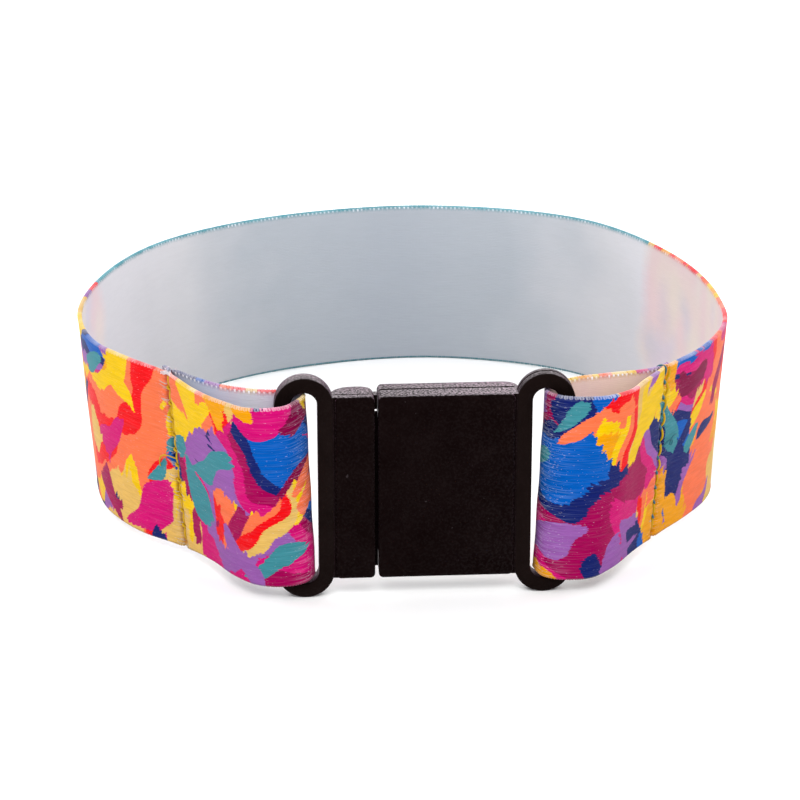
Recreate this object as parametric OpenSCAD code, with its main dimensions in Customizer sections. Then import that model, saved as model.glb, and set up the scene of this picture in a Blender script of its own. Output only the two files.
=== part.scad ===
// Festival wristband: one satin ribbon, closed by a release buckle of two moulded halves.
//
// Millimetres, +Z up. The loop stands on its side, as it lies on a table: its axis is vertical,
// the two buckle rings and the ribbon's lower edge at the back touch the ground at z = 0.
// The buckle lies along X on the -Y side and shows its flat front to -Y. Plan places in the
// tables count from the middle of the buckle, and the whole part is then centred over z = 0.
//
// The ribbon is followed from the end of its left tail: behind the left ring, out through the
// slot, back over the ring's outer bar, round the wrist, and the same way at the right ring.
// Its printed face is always on the left hand of that way, its plain face on the right.

/* [Ribbon] */
// Width of the ribbon, edge to edge
ribbon_w = 20; // [18:0.1:20]
// Thickness of the ribbon's wall
ribbon_t = 1; // [0.5:0.1:1.1]
// Clearance between a sewn-down tail and the ribbon that it lies on
layer_gap = 0.1; // [0.05:0.05:0.3]
// How far each tail runs on past its seam
tail_past_seam = 1.4; // [0.6:0.2:4]
// Height of the lower edge at the buckle, where the tall rings lift the ribbon
front_lift = 1.6; // [1.4:0.1:1.8]

/* [Buckle rings] */
// Distance between the middles of the two slots
slot_pitch = 23.9; // [23.7:0.1:24.5]
// Outside height of a ring
ring_h = 23.2; // [23.2:0.1:23.6]
// Outside width of a ring
ring_w = 5.85; // [5.8:0.05:6.4]
// Width of the upright bars beside the slot
bar_w = 1.6; // [1.4:0.05:1.6]
// Width of the rim above and below the slot
rim_w = 1.5; // [1.4:0.05:1.5]
// Thickness of the rings, front to back
ring_t = 2; // [1.6:0.1:2]

/* [Buckle body] */
// Height of the body, along the width of the ribbon
body_h = 19.2; // [17:0.2:20]
// How far the flat front of the body stands proud of the rings
front_proud = 0.15; // [0.05:0.05:0.4]
// Thickness of the socket's block
socket_t = 4.15; // [3.8:0.05:5]
// Thickness of the plug's shoulder
plug_t = 3.15; // [2.8:0.05:3.4]
// Length of the plug's shoulder, beside its ring
shoulder_l = 3.9; // [3:0.1:5]
// Gap between the shoulder and the mouth of the socket
mouth_gap = 0.45; // [0.3:0.05:0.8]
// Depth of the parting line round the socket
parting_depth = 0.12; // [0.05:0.01:0.2]

/* [Hidden latch] */
// Length of the tongue inside the socket
tongue_l = 9.6; // [6:0.2:10]
// Width of the tongue, along Z
tongue_w = 14.6; // [10:0.2:14.8]
// Thickness of the tongue
tongue_t = 1.6; // [1:0.1:1.6]
// Clearance round the tongue in its pocket
tongue_gap = 0.15; // [0.1:0.05:0.25]

/* [Hidden] */
$fn = 64;
eps = 0.02;

// The ribbon's way, one row for each section. Columns: low x, low y, high x, high y are the
// plan places of the lower and the upper edge of the printed face, and pinch is how far each
// edge draws in where the ribbon squeezes through a slot.

// From the left tail, behind the ring, to the left seam
LEFT_LOOP = [
    [-18.4,  5.5, -19.3,  3.2, 0.0],   // tail between ring and seam
    [-14.2,  2.4, -14.7,  2.4, 0.1],   // tail behind the outer bar
    [-12.0,  1.8, -12.4,  1.8, 0.4],   // into the slot
    [-11.1, -1.0, -11.9, -1.1, 0.5],   // fold
    [-12.3, -2.5, -12.7, -3.8, 0.1],   // out of the slot
    [-14.4, -2.4, -14.9, -5.1, 0.0],   // over the outer bar
    [-16.8, -1.4, -17.6, -4.3, 0.0],   // the layer bulges forward
    [-18.9,  1.1, -20.2, -2.3, 0.0],
    [-21.2,  5.4, -22.9,  1.8, 0.0]
];

// Round the wrist, from the left seam to the right seam
WRIST = [
    [-24.2,  9.8, -25.5,  6.1, 0.0],   // left seam
    [-28.8, 14.4, -29.4, 11.3, 0.0],
    [-32.2, 20.3, -33.1, 17.8, 0.0],
    [-34.2, 30.0, -35.5, 28.5, 0.0],   // left side
    [-32.9, 43.5, -34.1, 43.2, 0.0],
    [-25.8, 59.7, -26.5, 60.2, 0.0],
    [-11.8, 70.6, -12.1, 71.2, 0.0],
    [  6.4, 74.1,   6.5, 74.7, 0.0],   // back
    [ 23.8, 66.4,  24.2, 66.9, 0.0],
    [ 32.2, 49.8,  33.0, 50.0, 0.0],
    [ 34.5, 31.5,  35.5, 31.0, 0.0],   // right side
    [ 33.2, 21.9,  34.2, 20.8, 0.0],
    [ 29.0, 14.5,  29.8, 12.0, 0.0],
    [ 24.7,  9.2,  25.2,  6.9, 0.0]    // right seam
];

// From the right seam to the right tail
RIGHT_LOOP = [
    [ 22.0,  5.3,  22.7,  2.6, 0.0],
    [ 18.9,  0.5,  20.0, -1.6, 0.0],   // the layer bulges forward
    [ 16.8, -1.6,  17.5, -3.4, 0.0],
    [ 14.4, -2.6,  14.8, -3.8, 0.0],   // over the outer bar
    [ 12.3, -2.5,  12.8, -3.1, 0.1],   // into the slot
    [ 11.1, -1.0,  11.8, -1.0, 0.5],   // fold
    [ 12.0,  1.8,  12.4,  1.8, 0.4],   // out of the slot
    [ 14.2,  2.4,  14.7,  2.5, 0.1],   // tail behind the outer bar
    [ 17.8,  4.8,  18.3,  3.6, 0.0]    // tail between ring and seam
];

// Sweep: longest step between two cross-sections, in the sum of both edges' travel
sweep_step = 1.3;

// Heights
ring_mid_z = ring_h / 2;
body_z = ring_mid_z - body_h / 2;

// Buckle, along X from its middle
ring_x = slot_pitch / 2;
slot_w = ring_w - 2 * bar_w;
body_end = ring_x - ring_w / 2;
front_y = -ring_t / 2 - front_proud;
shoulder_end = -body_end + shoulder_l;
mouth_x = shoulder_end + mouth_gap;
tongue_y = front_y + socket_t / 2;
seat = 0.3;
edge_r = 0.25;
shoulder_r = 1;
lip_w = 1;
lip_inset = 0.4;
line_w = 0.2;
past_face = 1; // how far a cut runs out past the face that it opens

// Curve through the rows

function slope(rows, i) =
    let(last = len(rows) - 1,
        a = max(i - 1, 0), b = min(i + 1, last),
        before = norm(rows[i] - rows[a]), after = norm(rows[b] - rows[i]))
    before == 0 ? (rows[b] - rows[i]) / after :
    after == 0 ? (rows[i] - rows[a]) / before :
    ((rows[b] - rows[i]) * before / after + (rows[i] - rows[a]) * after / before) / (before + after);

function row_at(rows, i, u) =
    let(h = norm(rows[i + 1] - rows[i]))
    (2 * u * u * u - 3 * u * u + 1) * rows[i] + (u * u * u - 2 * u * u + u) * h * slope(rows, i)
    + (3 * u * u - 2 * u * u * u) * rows[i + 1] + (u * u * u - u * u) * h * slope(rows, i + 1);

function swept_rows(rows) = [
    for (i = [0 : len(rows) - 2])
        let(steps = ceil(norm(rows[i + 1] - rows[i]) / sweep_step))
        for (k = [0 : steps - 1]) row_at(rows, i, k / steps),
    rows[len(rows) - 1]
];

// A row moved sideways to the right hand of the way, towards the wrist
function unit(v) = v / norm(v);
function right_hand(v) = [v[1], -v[0]];
function beside(row, way, shift) =
    let(low = right_hand(unit([way[0], way[1]])) * shift,
        high = right_hand(unit([way[2], way[3]])) * shift)
    [row[0] + low[0], row[1] + low[1], row[2] + high[0], row[3] + high[1], row[4]];

// The tails lie on the plain face of the ribbon, round the seam
tail_shift = 2 * ribbon_t + layer_gap;
function length_share(rows, i) = sqrt(2) * tail_past_seam / norm(rows[i + 1] - rows[i]);
left_share = length_share(WRIST, 0);
right_share = 1 - length_share(WRIST, len(WRIST) - 2);
last_wrist = len(WRIST) - 1;
left_tail = [
    beside(row_at(WRIST, 0, left_share), slope(WRIST, 0), tail_shift),
    beside(WRIST[0], WRIST[1] - LEFT_LOOP[len(LEFT_LOOP) - 1], tail_shift)
];
right_tail = [
    beside(WRIST[last_wrist], RIGHT_LOOP[0] - WRIST[last_wrist - 1], tail_shift),
    beside(row_at(WRIST, last_wrist - 1, right_share), slope(WRIST, last_wrist), tail_shift)
];

// Whole way of the ribbon, and its fine sections
WAY = concat(left_tail, LEFT_LOOP, WRIST, RIGHT_LOOP, right_tail);
SECTIONS = swept_rows(WAY);

// The whole part is centred over the origin
x_places = [for (s = SECTIONS) each [s[0], s[2]]];
y_places = [for (s = SECTIONS) each [s[1], s[3]]];
centre = [(min(x_places) + max(x_places)) / 2, (min(y_places) + max(y_places)) / 2, 0];

// The lower edge rises evenly from the back of the loop to the buckle
function lift(y) = front_lift * (max(y_places) - y) / (max(y_places) - min(y_places));
function low_z(s) = lift(s[1]) + s[4];
function high_z(s) =
    lift(s[1]) + sqrt(ribbon_w * ribbon_w - pow(s[2] - s[0], 2) - pow(s[3] - s[1], 2)) - s[4];

// The four corners of the ribbon's cross-section at section i
function corners(i) =
    let(last = len(SECTIONS) - 1, s = SECTIONS[i],
        way = SECTIONS[min(i + 1, last)] - SECTIONS[max(i - 1, 0)],
        plain = beside(s, way, ribbon_t))
    [
        [s[0], s[1], low_z(s)], [s[2], s[3], high_z(s)],
        [plain[2], plain[3], high_z(s)], [plain[0], plain[1], low_z(s)]
    ];

// Closed skin over a row of four-cornered sections
module sweep_skin(count) {
    points = [for (i = [0 : count - 1]) each corners(i)];
    walls = [
        for (i = [0 : count - 2], k = [0 : 3])
            let(a = 4 * i + k, b = 4 * i + (k + 1) % 4)
            each [[a, a + 4, b], [b, a + 4, b + 4]]
    ];
    ends = [[0, 1, 2, 3], [for (k = [3 : -1 : 0]) 4 * (count - 1) + k]];
    polyhedron(points, concat(walls, ends), convexity = 8);
}

// One ribbon of satin: two sewn-down tails, two folds and the loop round the wrist
module strap() {
    color("orange") translate(-centre) sweep_skin(len(SECTIONS));
}

// Outline with half-round ends, standing along the ribbon's width
module upright_slot(width, height) {
    translate([-width / 2, width / 2]) square([width, height - width]);
    for (end = [width / 2, height - width / 2]) translate([0, end]) circle(d = width);
}

// A flat outline in X and Z, given a thickness from front to back
module from_front(y, thickness) {
    translate([0, y + thickness, 0]) rotate([90, 0, 0]) linear_extrude(thickness) children();
}

// Ring that holds one fold of the ribbon
module ring(side) {
    translate([side * ring_x, 0, 0]) from_front(-ring_t / 2, ring_t) difference() {
        upright_slot(ring_w, ring_h);
        translate([0, rim_w]) upright_slot(slot_w, ring_h - 2 * rim_w);
    }
}

// Block with rounded upright edges, from x to x + length
module block(x, length, thickness, back_r) {
    translate([x, front_y, body_z]) linear_extrude(body_h) {
        translate([edge_r, 0]) square([length - 2 * edge_r, thickness / 2]);
        translate([0, edge_r]) square([length, thickness - edge_r - back_r]);
        translate([back_r, thickness / 2]) square([length - 2 * back_r, thickness / 2]);
        for (at = [edge_r, length - edge_r]) translate([at, edge_r]) circle(edge_r);
        for (at = [back_r, length - back_r]) translate([at, thickness - back_r]) circle(back_r);
    }
}

// Tongue, or with a clearance the pocket that takes it
module tongue(gap) {
    length = tongue_l + mouth_gap + gap;
    translate([shoulder_end - eps, tongue_y - tongue_t / 2 - gap, ring_mid_z - tongue_w / 2 - gap])
        cube([length + eps, tongue_t + 2 * gap, tongue_w + 2 * gap]);
}

// Small lips that keep the two halves in line at the top and the bottom of the mouth
module lips() {
    for (z = [body_z + lip_inset, body_z + body_h - lip_inset - lip_w])
        translate([shoulder_end - eps, tongue_y - tongue_t / 2, z])
            cube([mouth_gap - tongue_gap + eps, tongue_t / 2, lip_w]);
}

// Left half: ring, shoulder and the tongue that is hidden in the socket
module buckle_plug() {
    color("dimgray") translate(-centre) {
        ring(-1);
        block(-body_end - seat, shoulder_l + seat, plug_t, shoulder_r);
        tongue(0);
        lips();
    }
}

// Right half: ring and block, with the pocket for the tongue and a parting line
module buckle_socket() {
    color("dimgray") translate(-centre) difference() {
        union() {
            ring(1);
            block(mouth_x, body_end + seat - mouth_x, socket_t, edge_r);
        }
        tongue(tongue_gap);
        parting_line();
    }
}

// Shallow line along the top and the bottom of the block, where the mould closes
module parting_line() {
    for (z = [body_z - past_face, body_z + body_h - parting_depth])
        translate([mouth_x - past_face, tongue_y - line_w / 2, z])
            cube([body_end - mouth_x + past_face, line_w, past_face + parting_depth]);
}

strap();
buckle_plug();
buckle_socket();
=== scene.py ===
# %% [markdown]
# # A festival wristband
# The real object is one woven satin ribbon, printed in bright colours on its outer face and plain
# on its inner one. It runs round the wrist, and each end folds back through the slotted ring of a
# black release buckle, where a cross seam holds it. It stands on its side, with its axis upright.
#
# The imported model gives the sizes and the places. Everything here is in metres, in its frame.

# %% The frame and its box
import math
import random

import bpy
import numpy as np
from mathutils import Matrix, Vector, noise


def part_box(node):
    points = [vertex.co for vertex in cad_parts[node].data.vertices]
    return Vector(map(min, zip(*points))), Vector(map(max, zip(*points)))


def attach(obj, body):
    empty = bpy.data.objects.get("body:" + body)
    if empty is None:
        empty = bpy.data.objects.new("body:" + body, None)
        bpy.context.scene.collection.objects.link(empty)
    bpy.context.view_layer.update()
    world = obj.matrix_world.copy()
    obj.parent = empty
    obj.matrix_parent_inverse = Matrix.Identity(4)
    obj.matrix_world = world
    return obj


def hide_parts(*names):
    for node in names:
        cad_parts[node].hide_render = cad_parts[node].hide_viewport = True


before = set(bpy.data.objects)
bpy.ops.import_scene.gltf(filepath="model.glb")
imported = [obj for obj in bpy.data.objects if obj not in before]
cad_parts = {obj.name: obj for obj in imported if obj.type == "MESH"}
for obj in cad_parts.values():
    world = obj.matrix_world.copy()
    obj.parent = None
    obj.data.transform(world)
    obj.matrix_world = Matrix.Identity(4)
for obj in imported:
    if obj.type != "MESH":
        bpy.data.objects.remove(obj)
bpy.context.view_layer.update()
MM = 0.001

# %% [markdown]
# ## The camera first
# The photograph looks down on the buckle by 19.5 degrees from about a quarter of a metre, a little
# from the left. The lens is long, so the near buckle hardly grows against the far side.

# %% Camera
CAMERA_PLACE = Vector((-18.0, -272.7, 104.9)) * MM
CAMERA_DOWN = math.radians(19.5)
CAMERA_TURN = math.radians(3.8)
LENS_MM = 115.6
SHIFT_SHARE = -0.0025

bpy.ops.object.camera_add(location=CAMERA_PLACE, rotation=(math.pi / 2 - CAMERA_DOWN, 0, -CAMERA_TURN))
camera = bpy.context.object
camera.name = "camera"
camera.data.lens = LENS_MM
camera.data.shift_x = SHIFT_SHARE
camera.data.clip_start = 0.01
bpy.context.scene.camera = camera
print("camera at, mm:", [round(v / MM, 1) for v in camera.location], "lens:", LENS_MM)


# %% [markdown]
# ## Hands for the work
# An operator acts on all that is selected, so a piece is always picked alone first.

# %% Picking, shaping, joining and finishing
def deselect_all():
    bpy.ops.object.select_all(action="DESELECT")


def pick(*pieces):
    deselect_all()
    for piece in pieces:
        piece.select_set(True)
    bpy.context.view_layer.objects.active = pieces[0]


def modify(piece, kind, **settings):
    """Adds a modifier, sets it and applies it."""
    pick(piece)
    modifier = piece.modifiers.new("Shape", kind)
    for key, value in settings.items():
        setattr(modifier, key, value)
    bpy.ops.object.modifier_apply(modifier=modifier.name)
    return piece


def edit_all(piece, operator, **settings):
    """Runs one edit-mode operator on the whole mesh."""
    pick(piece)
    bpy.ops.object.mode_set(mode="EDIT")
    bpy.ops.mesh.select_all(action="SELECT")
    operator(**settings)
    bpy.ops.object.mode_set(mode="OBJECT")


def link(name, data):
    piece = bpy.data.objects.new(name, data)
    bpy.context.scene.collection.objects.link(piece)
    return piece


def join(name, pieces):
    pick(*pieces)
    if len(pieces) > 1:
        bpy.ops.object.join()
    pieces[0].name = pieces[0].data.name = name
    return pieces[0]


def smooth(piece, degrees=35):
    pick(piece)
    bpy.ops.object.shade_smooth_by_angle(angle=math.radians(degrees))
    return piece


# %% [markdown]
# ## The ribbon's way
# A ribbon has one width and no stretch, so its shape is known once both edges are. Each row below is
# a cross-section: where the lower and the upper edge of the printed face are in plan, in millimetres
# from the middle of the buckle, and how far each edge draws in where it squeezes through a slot.
# The upper edge leans outwards over most of the way, as the front layers bulge away from the tails.

# %% Rows of the ribbon
RIBBON_W = 20.0
WALL = 0.42
LAYER_GAP = 0.12
TAIL_PAST_SEAM = 1.4
FRONT_LIFT = 1.6

# Low x, low y, high x, high y, how far the low and the high edge draw in
LEFT_LOOP = [
    [-18.4, 5.5, -19.3, 3.4, 0.0, 0.0],  # tail between ring and seam
    [-14.4, 2.1, -14.9, 1.6, 0.1, 0.1],  # tail behind the outer bar
    [-12.3, 1.7, -12.8, 1.7, 0.4, 0.1],  # into the slot
    [-10.95, -0.1, -11.75, -0.6, 0.8, 0.0],  # fold
    [-11.7, -1.5, -12.7, -2.5, 0.4, 0.05],  # out of the slot
    [-12.9, -1.75, -13.6, -3.7, 0.1, 0.05],
    [-14.4, -1.85, -14.8, -4.3, 0.0, 0.0],  # over the outer bar
    [-16.8, -1.2, -17.6, -4.0, 0.0, 0.0],  # the layer bulges forward
    [-18.9, 1.1, -20.2, -1.5, 0.0, 0.0],
    [-21.2, 5.4, -22.9, 2.6, 0.0, 0.0],
]
WRIST = [
    [-24.2, 9.8, -25.6, 7.9, 0.0, 0.0],  # left seam
    [-28.8, 14.4, -29.6, 12.9, 0.0, 0.0],
    [-32.2, 20.3, -33.1, 18.3, 0.0, 0.0],
    [-34.2, 30.0, -35.5, 28.5, 0.0, 0.0],  # left side
    [-32.9, 43.5, -34.0, 43.2, 0.0, 0.0],
    [-25.8, 59.7, -26.5, 60.2, 0.0, 0.0],
    [-11.8, 70.6, -12.1, 71.1, 0.0, 0.0],
    [6.4, 74.1, 6.5, 74.6, 0.0, 0.0],  # back
    [23.8, 66.4, 24.2, 66.8, 0.0, 0.0],
    [31.9, 49.8, 32.7, 50.0, 0.0, 0.0],
    [34.2, 31.5, 35.05, 31.0, 0.0, 0.0],  # right side
    [32.95, 21.9, 33.8, 20.8, 0.0, 0.0],
    [28.85, 14.5, 29.6, 12.0, 0.0, 0.0],
    [24.7, 9.2, 25.2, 6.6, 0.0, 0.0],  # right seam
]
RIGHT_LOOP = [
    [22.0, 5.3, 22.7, 2.6, 0.0, 0.0],
    [18.9, 0.5, 20.0, -1.6, 0.0, 0.0],  # the layer bulges forward
    [16.8, -1.6, 17.5, -3.2, 0.0, 0.0],
    [14.4, -1.95, 14.8, -3.3, 0.0, 0.0],  # over the outer bar
    [12.9, -1.8, 13.4, -2.8, 0.1, 0.05],
    [11.75, -1.35, 12.5, -2.0, 0.3, 0.05],  # into the slot
    [11.0, -0.1, 11.85, -0.6, 0.8, 0.05],  # fold
    [12.1, 1.7, 12.7, 1.7, 0.4, 0.1],  # out of the slot
    [14.3, 2.2, 14.9, 3.0, 0.0, 0.0],  # tail behind the outer bar
    [17.8, 4.8, 18.3, 4.2, 0.0, 0.0],  # tail between ring and seam
]


# %% A smooth curve through the rows
def slope(rows, i):
    a, b = max(i - 1, 0), min(i + 1, len(rows) - 1)
    before, after = np.linalg.norm(rows[i] - rows[a]), np.linalg.norm(rows[b] - rows[i])
    if before == 0:
        return (rows[b] - rows[i]) / after
    if after == 0:
        return (rows[i] - rows[a]) / before
    return ((rows[b] - rows[i]) * before / after + (rows[i] - rows[a]) * after / before) / (before + after)


def row_at(rows, i, u):
    h = np.linalg.norm(rows[i + 1] - rows[i])
    ends = (2 * u**3 - 3 * u**2 + 1) * rows[i] + (3 * u**2 - 2 * u**3) * rows[i + 1]
    return ends + h * ((u**3 - 2 * u**2 + u) * slope(rows, i) + (u**3 - u**2) * slope(rows, i + 1))


def beside(row, way, shift):
    """A row moved to the right hand of the way, which is the wrist's side."""
    moved = row.copy()
    for k in (0, 2):
        step = np.array([way[k + 1], -way[k]])
        moved[k:k + 2] += step / np.linalg.norm(step) * shift
    return moved


# %% The two tails lie on the plain face, round the seams
left, wrist, right = (np.array(rows) for rows in (LEFT_LOOP, WRIST, RIGHT_LOOP))
tail_shift = 2 * WALL + LAYER_GAP
SEWN_HIGH = np.array([0, 0, 0, 0, 0.35, -0.35])  # the left tail's end peeps out above the band
last = len(wrist) - 1


def share_of_way(i):
    return math.sqrt(2) * TAIL_PAST_SEAM / np.linalg.norm(wrist[i + 1] - wrist[i])


left_tail = [
    beside(row_at(wrist, 0, share_of_way(0)), slope(wrist, 0), tail_shift) + SEWN_HIGH,
    beside(wrist[0], wrist[1] - left[-1], tail_shift) + SEWN_HIGH,
]
right_tail = [
    beside(wrist[last], right[0] - wrist[last - 1], tail_shift),
    beside(row_at(wrist, last - 1, 1 - share_of_way(last - 1)), slope(wrist, last), tail_shift),
]
way = np.array([*left_tail, *left, *wrist, *right, *right_tail])

# %% Both edges in the frame, and the length along them
STEPS = 40
sections = [row_at(way, i, k / STEPS) for i in range(len(way) - 1) for k in range(STEPS)]
sections = np.array([*sections, way[-1]])

plug_low, plug_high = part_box("buckle_plug")
socket_low, socket_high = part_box("buckle_socket")
FRONT_TO_MIDDLE = 1.15 * MM  # the flat front of the buckle to the middle of its rings
buckle_middle = Vector(((plug_low.x + socket_high.x) / 2, plug_low.y + FRONT_TO_MIDDLE, 0))

depths = sections[:, [1, 3]]
lift = FRONT_LIFT * (depths.max() - sections[:, 1]) / (depths.max() - depths.min())
lean = np.hypot(sections[:, 2] - sections[:, 0], sections[:, 3] - sections[:, 1])
low_edge = np.column_stack([sections[:, :2], lift + sections[:, 4]])
high_edge = np.column_stack([sections[:, 2:4], lift + np.sqrt(RIBBON_W**2 - lean**2) - sections[:, 5]])
low_edge, high_edge = low_edge * MM + buckle_middle, high_edge * MM + buckle_middle


def travel(edge):
    return np.concatenate([[0], np.cumsum(np.linalg.norm(np.diff(edge, axis=0), axis=1))])


arc = (travel(low_edge) + travel(high_edge)) / 2 / MM
RIBBON_L = arc[-1]
ROW_NUMBERS = {"left_tail_seam": 1, "left_fold": 5, "left_seam": 12, "right_seam": 12 + last,
               "right_fold": len(way) - 6, "right_tail_seam": len(way) - 2}
row_place = {name: arc[STEPS * number] for name, number in ROW_NUMBERS.items()}
print("ribbon length, mm:", round(RIBBON_L, 1), {k: round(v, 1) for k, v in row_place.items()})


# %% Any point of the ribbon
AHEAD = 0.15  # how far on either side the ribbon's direction is taken, in mm


def on_ribbon(along, across, out=0.0, past_edge=0.0):
    """Points at a length along, a share of the width and a height out of the printed face, in mm."""
    along = np.asarray(along, float)

    def at(edge, places):
        return np.column_stack([np.interp(places, arc, edge[:, k]) for k in range(3)])

    low, high = at(low_edge, along), at(high_edge, along)
    share = np.asarray(across, float)[..., None]
    near, far = np.clip(along - AHEAD, 0, RIBBON_L), np.clip(along + AHEAD, 0, RIBBON_L)
    forward = (at(low_edge, far) - at(low_edge, near)) * (1 - share)
    forward = forward + (at(high_edge, far) - at(high_edge, near)) * share
    up = high - low
    up = up / np.linalg.norm(up, axis=1)[:, None]
    face = np.cross(up, forward)
    face = face / np.linalg.norm(face, axis=1)[:, None]
    sideways = np.where(share > 0.5, 1.0, -1.0) * np.asarray(past_edge, float)[..., None]
    return low + (high - low) * share + (face * np.asarray(out, float)[..., None] + up * sideways) * MM


# %% [markdown]
# ## Relief of the cloth
# Stitching draws a furrow, with a small pucker at each stitch, and the cloth ripples where it is
# squeezed through the slots. The rest is almost flat, with a faint unevenness that satin shows at once.

# %% Relief, in millimetres out of the printed face
STITCH, FIRST_HOLE = 1.75, 0.7
SEAMS = ("left_tail_seam", "left_seam", "right_seam", "right_tail_seam")
FOLDS = ("left_fold", "right_fold")
FURROW_DEPTH, FURROW_W = 0.26, 0.42
# The crease gets painted shade: a dark line where the furrow's shadow falls.
CREASE_SHIFT, CREASE_W = 0.24, 0.17  # a dark line on the far side of the thread
DIMPLE, DIMPLE_W = 0.09, 0.55
PUCKER, PUCKER_REACH = 0.06, 1.8
RIPPLE, RIPPLE_REACH, RIPPLE_ACROSS, RIPPLE_ALONG = 0.03, 4.5, 6.3, 40
UNEVEN, UNEVEN_ALONG, UNEVEN_ACROSS, CALM_REACH = 0.09, 11, 8, 4.0


def closeness(along, places, reach):
    return np.exp(-np.min([np.abs(along - row_place[p]) for p in places], axis=0)**2 / reach**2)


def at_holes(width_mm):
    """1 at each needle hole and -1 half-way between two."""
    return np.cos(2 * math.pi * (width_mm - FIRST_HOLE) / STITCH)


def relief(along, across):
    width_mm = across * RIBBON_W
    hole = at_holes(width_mm)
    out = -FURROW_DEPTH * closeness(along, SEAMS, FURROW_W)
    out -= DIMPLE * np.maximum(hole, 0) * closeness(along, SEAMS, DIMPLE_W)
    beside_seam = closeness(along, SEAMS, PUCKER_REACH) - closeness(along, SEAMS, FURROW_W)
    out += PUCKER * (0.6 - hole) * beside_seam
    folds = closeness(along, FOLDS, RIPPLE_REACH)
    out += RIPPLE * folds * np.cos(2 * math.pi * (width_mm / RIPPLE_ACROSS + along / RIPPLE_ALONG))
    calm = 1 - closeness(along, SEAMS, CALM_REACH)
    soft = [noise.noise(Vector((a / UNEVEN_ALONG, w / UNEVEN_ACROSS, 3.7))) for a, w in zip(along, width_mm)]
    return out + UNEVEN * calm * (1 - folds) * np.array(soft)


# %% [markdown]
# ## The ribbon itself
# A flat grid is laid along the way, vertex by vertex, and keeps its flat UV map, so that print and
# weave follow the cloth. Columns stand closer at the seams and folds, where the form changes fast.
# Solidify then gives the wall, thinner where the stitches pull the two layers together.

# %% Columns along the ribbon
FINE, MIDDLE, COARSE = 0.13, 0.26, 0.5
LOOPS_END, SEAM_ZONE = 9.0, 1.8


def column_step(place):
    if min(abs(place - row_place[p]) for p in SEAMS) < SEAM_ZONE:
        return FINE
    beyond = place < row_place["left_seam"] + LOOPS_END or place > row_place["right_seam"] - LOOPS_END
    return MIDDLE if beyond else COARSE


columns = [0.0]
while columns[-1] < RIBBON_L:
    columns.append(columns[-1] + column_step(columns[-1]))
columns = np.array(columns) * RIBBON_L / columns[-1]

# %% Lay the flat grid along the way
ROWS = 44
EDGE_IN = 0.09  # room for the selvage loops, in mm
deselect_all()
bpy.ops.mesh.primitive_grid_add(x_subdivisions=len(columns) - 1, y_subdivisions=ROWS, size=1)
ribbon = bpy.context.object
ribbon.name = ribbon.data.name = "satin_ribbon"
flat = np.zeros(len(ribbon.data.vertices) * 3)
ribbon.data.vertices.foreach_get("co", flat)
flat = flat.reshape(-1, 3) + 0.5
column = np.rint(flat[:, 0] * (len(columns) - 1)).astype(int)
along = columns[column]
across = (EDGE_IN + flat[:, 1] * (RIBBON_W - 2 * EDGE_IN)) / RIBBON_W
placed = on_ribbon(along, across, relief(along, across))
ribbon.data.vertices.foreach_set("co", placed.ravel())

# %% Its UV map is the flat ribbon: the whole length and width are the unit square
loops = np.zeros(len(ribbon.data.loops), int)
ribbon.data.loops.foreach_get("vertex_index", loops)
ribbon_uv = np.column_stack([along / RIBBON_L, across])[loops]
ribbon.data.uv_layers[0].data.foreach_set("uv", ribbon_uv.ravel())
ribbon.data.uv_layers[0].name = "flat"

# %% Turn the printed face outwards
edit_all(ribbon, bpy.ops.mesh.flip_normals)


# %% Strain, bends, needle holes and the crease, marked for the material, which paints shade in the holes, the crease and the folds, and sheen at the bends
def mark(name, values):
    ribbon.data.attributes.new(name, "FLOAT", "POINT").data.foreach_set("value", values)


# Strain also carries painted shade: the colour darkens near the folds and seams.
mark("strain_and_shade", np.maximum(0.8 * closeness(along, SEAMS, 1.6), closeness(along, FOLDS, 3.0)))
# The bends mark where painted sheen goes near the folds.
mark("bend", closeness(along, FOLDS, 3.5))
# Painted shade in the needle holes of the seams.
mark("furrow", closeness(along, SEAMS, 0.45) * np.maximum(at_holes(across * RIBBON_W), 0) ** 2)
patchy = [0.6 + 0.8 * noise.noise(Vector((a * 0.2, w * RIBBON_W * 0.5, 9))) for a, w in zip(along, across)]
# Painted shade along the crease beside the thread.
mark("crease_shade", closeness(along - CREASE_SHIFT, SEAMS, CREASE_W) * np.clip(patchy, 0, 1))

# %% The wall, thinner at the stitches: printed outside, plain inside
wall_share = ribbon.vertex_groups.new(name="wall")
squeezed = 1 - 0.35 * closeness(along, SEAMS, 3.0) - 0.2 * closeness(along, SEAMS, FURROW_W)
for i, value in enumerate(squeezed):
    wall_share.add([i], float(value), "REPLACE")
for side in ("printed", "plain"):
    ribbon.data.materials.append(None)
modify(ribbon, "SOLIDIFY", thickness=WALL * MM, offset=-1, vertex_group="wall", use_even_offset=True,
       material_offset=1, material_offset_rim=0)
smooth(ribbon, 50)
print("ribbon:", len(ribbon.data.polygons), "faces,", len(columns), "columns")


# %% [markdown]
# ## The selvage
# At each edge of a woven ribbon the weft turns back in a row of tiny loops. They take up some of the
# print, and on the upper edge every second one ends on the plain side as a paler bead. One loop is a
# short flat tube round the edge, and some nine hundred of them follow each edge.

# %% Loops round both edges
LOOP_PITCH, LOOP_JITTER, LOOP_SIDES = 0.27, 0.04, 5
LOOP_ALONG, LOOP_THICK = 0.115, 0.055  # half width along the ribbon, half thickness, in mm
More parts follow.
